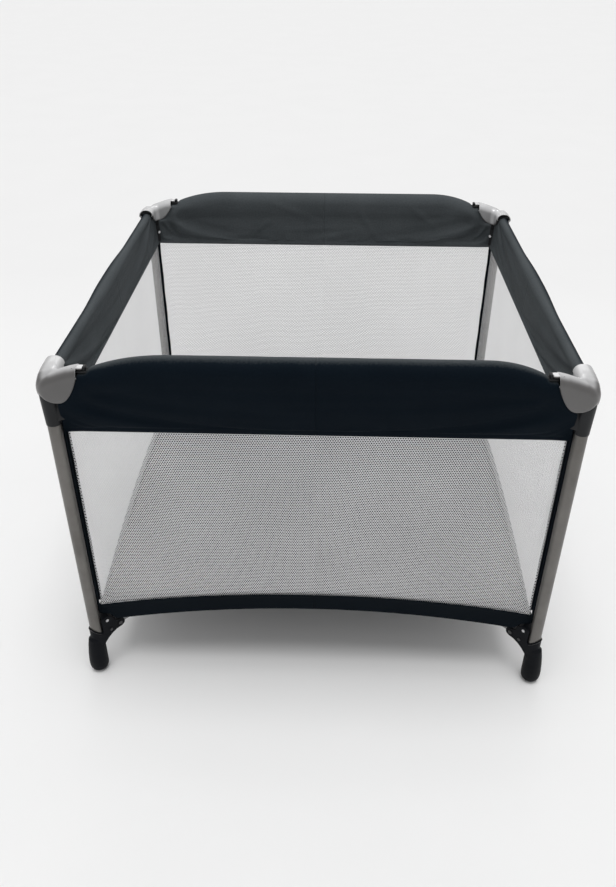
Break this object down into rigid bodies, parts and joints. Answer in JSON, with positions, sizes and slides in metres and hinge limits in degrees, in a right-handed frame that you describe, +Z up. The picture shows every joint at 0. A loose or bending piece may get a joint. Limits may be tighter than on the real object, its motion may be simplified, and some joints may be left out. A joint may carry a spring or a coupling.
{
  "type": "playpen",
  "caption": "Square folding playpen with net walls, padded black top rails, grey corner caps, upright metal legs, a floor frame on a central hub and a folding mat.",
  "frame": {"origin": "on the floor under the centre of the hub", "axes": "+Z up, +X to the right of the front side, +Y to the back"},
  "size_m": [1.0014, 1.0014, 0.785],
  "materials": {
    "leg_metal": "satin, warm grey",
    "bar_metal": "grey powder coat",
    "foot_plastic": "fine moulded texture",
    "cap_plastic": "smooth, half gloss",
    "black_plastic": "fine moulded texture",
    "button_plastic": "smooth",
    "pin_metal": "zinc plated",
    "net": "hexagonal knitted net",
    "cover_fabric": "plain woven polyester",
    "strap_webbing": "woven webbing",
    "floor_cloth": "coated woven polyester",
    "mat_cloth": "woven polyester over padded panels"
  },
  "bodies": {
    "hub": {"hub_base": "black_plastic", "hub_foot": "foot_plastic", "hub_cover": "black_plastic", "hub_pins": "pin_metal", "lift_strap": "strap_webbing", "floor_fabric": "floor_cloth"},
    "mat": {"mat": "mat_cloth"},
    "arm_front_left": {"arm_tube_front_left": "bar_metal"},
    "arm_front_right": {"arm_tube_front_right": "bar_metal"},
    "arm_back_right": {"arm_tube_back_right": "bar_metal"},
    "arm_back_left": {"arm_tube_back_left": "bar_metal"},
    "leg_front_left": {"leg_tube_front_left": "leg_metal", "foot_front_left": "foot_plastic", "corner_housing_front_left": "black_plastic", "corner_cap_front_left": "cap_plastic", "leg_hardware_front_left": "pin_metal", "wall_fabric_front_left": "net"},
    "leg_front_right": {"leg_tube_front_right": "leg_metal", "foot_front_right": "foot_plastic", "corner_housing_front_right": "black_plastic", "corner_cap_front_right": "cap_plastic", "leg_hardware_front_right": "pin_metal", "wall_fabric_front_right": "net"},
    "leg_back_right": {"leg_tube_back_right": "leg_metal", "foot_back_right": "foot_plastic", "corner_housing_back_right": "black_plastic", "corner_cap_back_right": "cap_plastic", "leg_hardware_back_right": "pin_metal", "wall_fabric_back_right": "net"},
    "leg_back_left": {"leg_tube_back_left": "leg_metal", "foot_back_left": "foot_plastic", "corner_housing_back_left": "black_plastic", "corner_cap_back_left": "cap_plastic", "leg_hardware_back_left": "pin_metal", "wall_fabric_back_left": "net"},
    "rail_front_left": {"rail_tube_front_left": "bar_metal", "rail_cover_front_left": "cover_fabric"},
    "rail_right_front": {"rail_tube_right_front": "bar_metal", "rail_cover_right_front": "cover_fabric"},
    "rail_back_right": {"rail_tube_back_right": "bar_metal", "rail_cover_back_right": "cover_fabric"},
    "rail_left_back": {"rail_tube_left_back": "bar_metal", "rail_cover_left_back": "cover_fabric"},
    "rail_left_front": {"rail_tube_left_front": "bar_metal", "rail_cover_left_front": "cover_fabric"},
    "rail_front_right": {"rail_tube_front_right": "bar_metal", "rail_cover_front_right": "cover_fabric"},
    "rail_right_back": {"rail_tube_right_back": "bar_metal", "rail_cover_right_back": "cover_fabric"},
    "rail_back_left": {"rail_tube_back_left": "bar_metal", "rail_cover_back_left": "cover_fabric"},
    "lock_front": {"lock_housing_front": "black_plastic"},
    "lock_right": {"lock_housing_right": "black_plastic"},
    "lock_back": {"lock_housing_back": "black_plastic"},
    "lock_left": {"lock_housing_left": "black_plastic"},
    "button_front": {"lock_button_front": "button_plastic"},
    "button_right": {"lock_button_right": "button_plastic"},
    "button_back": {"lock_button_back": "button_plastic"},
    "button_left": {"lock_button_left": "button_plastic"}
  },
  "joints": [
    {"name": "fold", "type": "hinge", "parent": "hub", "child": "arm_front_left", "pos_m": [-0.03023, -0.03023, 0.108], "axis": [0.7071, -0.7071, 0], "range_deg": [0, 84], "deforming": ["wall_fabric_front_left", "wall_fabric_front_right", "wall_fabric_back_right", "wall_fabric_back_left", "rail_cover_front_left", "rail_cover_right_front", "rail_cover_back_right", "rail_cover_left_back", "rail_cover_left_front", "rail_cover_front_right", "rail_cover_right_back", "rail_cover_back_left", "floor_fabric", "mat"]},
    {"name": "arm_fold_front_right", "type": "hinge", "parent": "hub", "child": "arm_front_right", "pos_m": [0.03023, -0.03023, 0.108], "axis": [0.7071, 0.7071, 0], "range_deg": [0, 84]},
    {"name": "arm_fold_back_right", "type": "hinge", "parent": "hub", "child": "arm_back_right", "pos_m": [0.03023, 0.03023, 0.108], "axis": [-0.7071, 0.7071, 0], "range_deg": [0, 84]},
    {"name": "arm_fold_back_left", "type": "hinge", "parent": "hub", "child": "arm_back_left", "pos_m": [-0.03023, 0.03023, 0.108], "axis": [-0.7071, -0.7071, 0], "range_deg": [0, 84]},
    {"name": "leg_fold_front_left", "type": "hinge", "parent": "arm_front_left", "child": "leg_front_left", "pos_m": [-0.43823, -0.43823, 0.108], "axis": [-0.7071, 0.7071, 0], "range_deg": [0, 84]},
    {"name": "leg_fold_front_right", "type": "hinge", "parent": "arm_front_right", "child": "leg_front_right", "pos_m": [0.43823, -0.43823, 0.108], "axis": [-0.7071, -0.7071, 0], "range_deg": [0, 84]},
    {"name": "leg_fold_back_right", "type": "hinge", "parent": "arm_back_right", "child": "leg_back_right", "pos_m": [0.43823, 0.43823, 0.108], "axis": [0.7071, -0.7071, 0], "range_deg": [0, 84]},
    {"name": "leg_fold_back_left", "type": "hinge", "parent": "arm_back_left", "child": "leg_back_left", "pos_m": [-0.43823, 0.43823, 0.108], "axis": [0.7071, 0.7071, 0], "range_deg": [0, 84]},
    {"name": "rail_fold_front_left", "type": "hinge", "parent": "leg_front_left", "child": "rail_front_left", "pos_m": [-0.43, -0.475, 0.729], "axis": [0, 1, 0], "range_deg": [0, 84]},
    {"name": "rail_fold_right_front", "type": "hinge", "parent": "leg_front_right", "child": "rail_right_front", "pos_m": [0.475, -0.43, 0.729], "axis": [-1, 0, 0], "range_deg": [0, 84]},
    {"name": "rail_fold_back_right", "type": "hinge", "parent": "leg_back_right", "child": "rail_back_right", "pos_m": [0.43, 0.475, 0.729], "axis": [0, -1, 0], "range_deg": [0, 84]},
    {"name": "rail_fold_left_back", "type": "hinge", "parent": "leg_back_left", "child": "rail_left_back", "pos_m": [-0.475, 0.43, 0.729], "axis": [1, 0, 0], "range_deg": [0, 84]},
    {"name": "rail_fold_left_front", "type": "hinge", "parent": "leg_front_left", "child": "rail_left_front", "pos_m": [-0.475, -0.43, 0.729], "axis": [-1, 0, 0], "range_deg": [0, 84]},
    {"name": "rail_fold_front_right", "type": "hinge", "parent": "leg_front_right", "child": "rail_front_right", "pos_m": [0.43, -0.475, 0.729], "axis": [0, -1, 0], "range_deg": [0, 84]},
    {"name": "rail_fold_right_back", "type": "hinge", "parent": "leg_back_right", "child": "rail_right_back", "pos_m": [0.475, 0.43, 0.729], "axis": [1, 0, 0], "range_deg": [0, 84]},
    {"name": "rail_fold_back_left", "type": "hinge", "parent": "leg_back_left", "child": "rail_back_left", "pos_m": [-0.43, 0.475, 0.729], "axis": [0, 1, 0], "range_deg": [0, 84]},
    {"name": "lock_level_front", "type": "hinge", "parent": "rail_front_left", "child": "lock_front", "pos_m": [-0.022, -0.475, 0.729], "axis": [0, -1, 0], "range_deg": [0, 84]},
    {"name": "lock_level_right", "type": "hinge", "parent": "rail_right_front", "child": "lock_right", "pos_m": [0.475, -0.022, 0.729], "axis": [1, 0, 0], "range_deg": [0, 84]},
    {"name": "lock_level_back", "type": "hinge", "parent": "rail_back_right", "child": "lock_back", "pos_m": [0.022, 0.475, 0.729], "axis": [0, 1, 0], "range_deg": [0, 84]},
    {"name": "lock_level_left", "type": "hinge", "parent": "rail_left_back", "child": "lock_left", "pos_m": [-0.475, 0.022, 0.729], "axis": [-1, 0, 0], "range_deg": [0, 84]},
    {"name": "button_press_front", "type": "slide", "parent": "lock_front", "child": "button_front", "axis": [0, 0, 1], "range_m": [0, 0.006], "stiffness_N_per_m": 400, "springref_m": -0.003},
    {"name": "button_press_right", "type": "slide", "parent": "lock_right", "child": "button_right", "axis": [0, 0, 1], "range_m": [0, 0.006], "stiffness_N_per_m": 400, "springref_m": -0.003},
    {"name": "button_press_back", "type": "slide", "parent": "lock_back", "child": "button_back", "axis": [0, 0, 1], "range_m": [0, 0.006], "stiffness_N_per_m": 400, "springref_m": -0.003},
    {"name": "button_press_left", "type": "slide", "parent": "lock_left", "child": "button_left", "axis": [0, 0, 1], "range_m": [0, 0.006], "stiffness_N_per_m": 400, "springref_m": -0.003},
    {"name": "mat_lift", "type": "slide", "parent": "hub", "child": "mat", "axis": [0, 0, 1], "range_m": [0, 0.7], "deforming": ["mat"]}
  ],
  "couplings": [
    {"joint": "arm_fold_front_right", "follows": "fold", "ratio": 1},
    {"joint": "arm_fold_back_right", "follows": "fold", "ratio": 1},
    {"joint": "arm_fold_back_left", "follows": "fold", "ratio": 1},
    {"joint": "leg_fold_front_left", "follows": "fold", "ratio": 1},
    {"joint": "leg_fold_front_right", "follows": "fold", "ratio": 1},
    {"joint": "leg_fold_back_right", "follows": "fold", "ratio": 1},
    {"joint": "leg_fold_back_left", "follows": "fold", "ratio": 1},
    {"joint": "rail_fold_front_left", "follows": "fold", "ratio": 1},
    {"joint": "rail_fold_right_front", "follows": "fold", "ratio": 1},
    {"joint": "rail_fold_back_right", "follows": "fold", "ratio": 1},
    {"joint": "rail_fold_left_back", "follows": "fold", "ratio": 1},
    {"joint": "rail_fold_left_front", "follows": "fold", "ratio": 1},
    {"joint": "rail_fold_front_right", "follows": "fold", "ratio": 1},
    {"joint": "rail_fold_right_back", "follows": "fold", "ratio": 1},
    {"joint": "rail_fold_back_left", "follows": "fold", "ratio": 1},
    {"joint": "lock_level_front", "follows": "fold", "ratio": 1},
    {"joint": "lock_level_right", "follows": "fold", "ratio": 1},
    {"joint": "lock_level_back", "follows": "fold", "ratio": 1},
    {"joint": "lock_level_left", "follows": "fold", "ratio": 1}
  ]
}
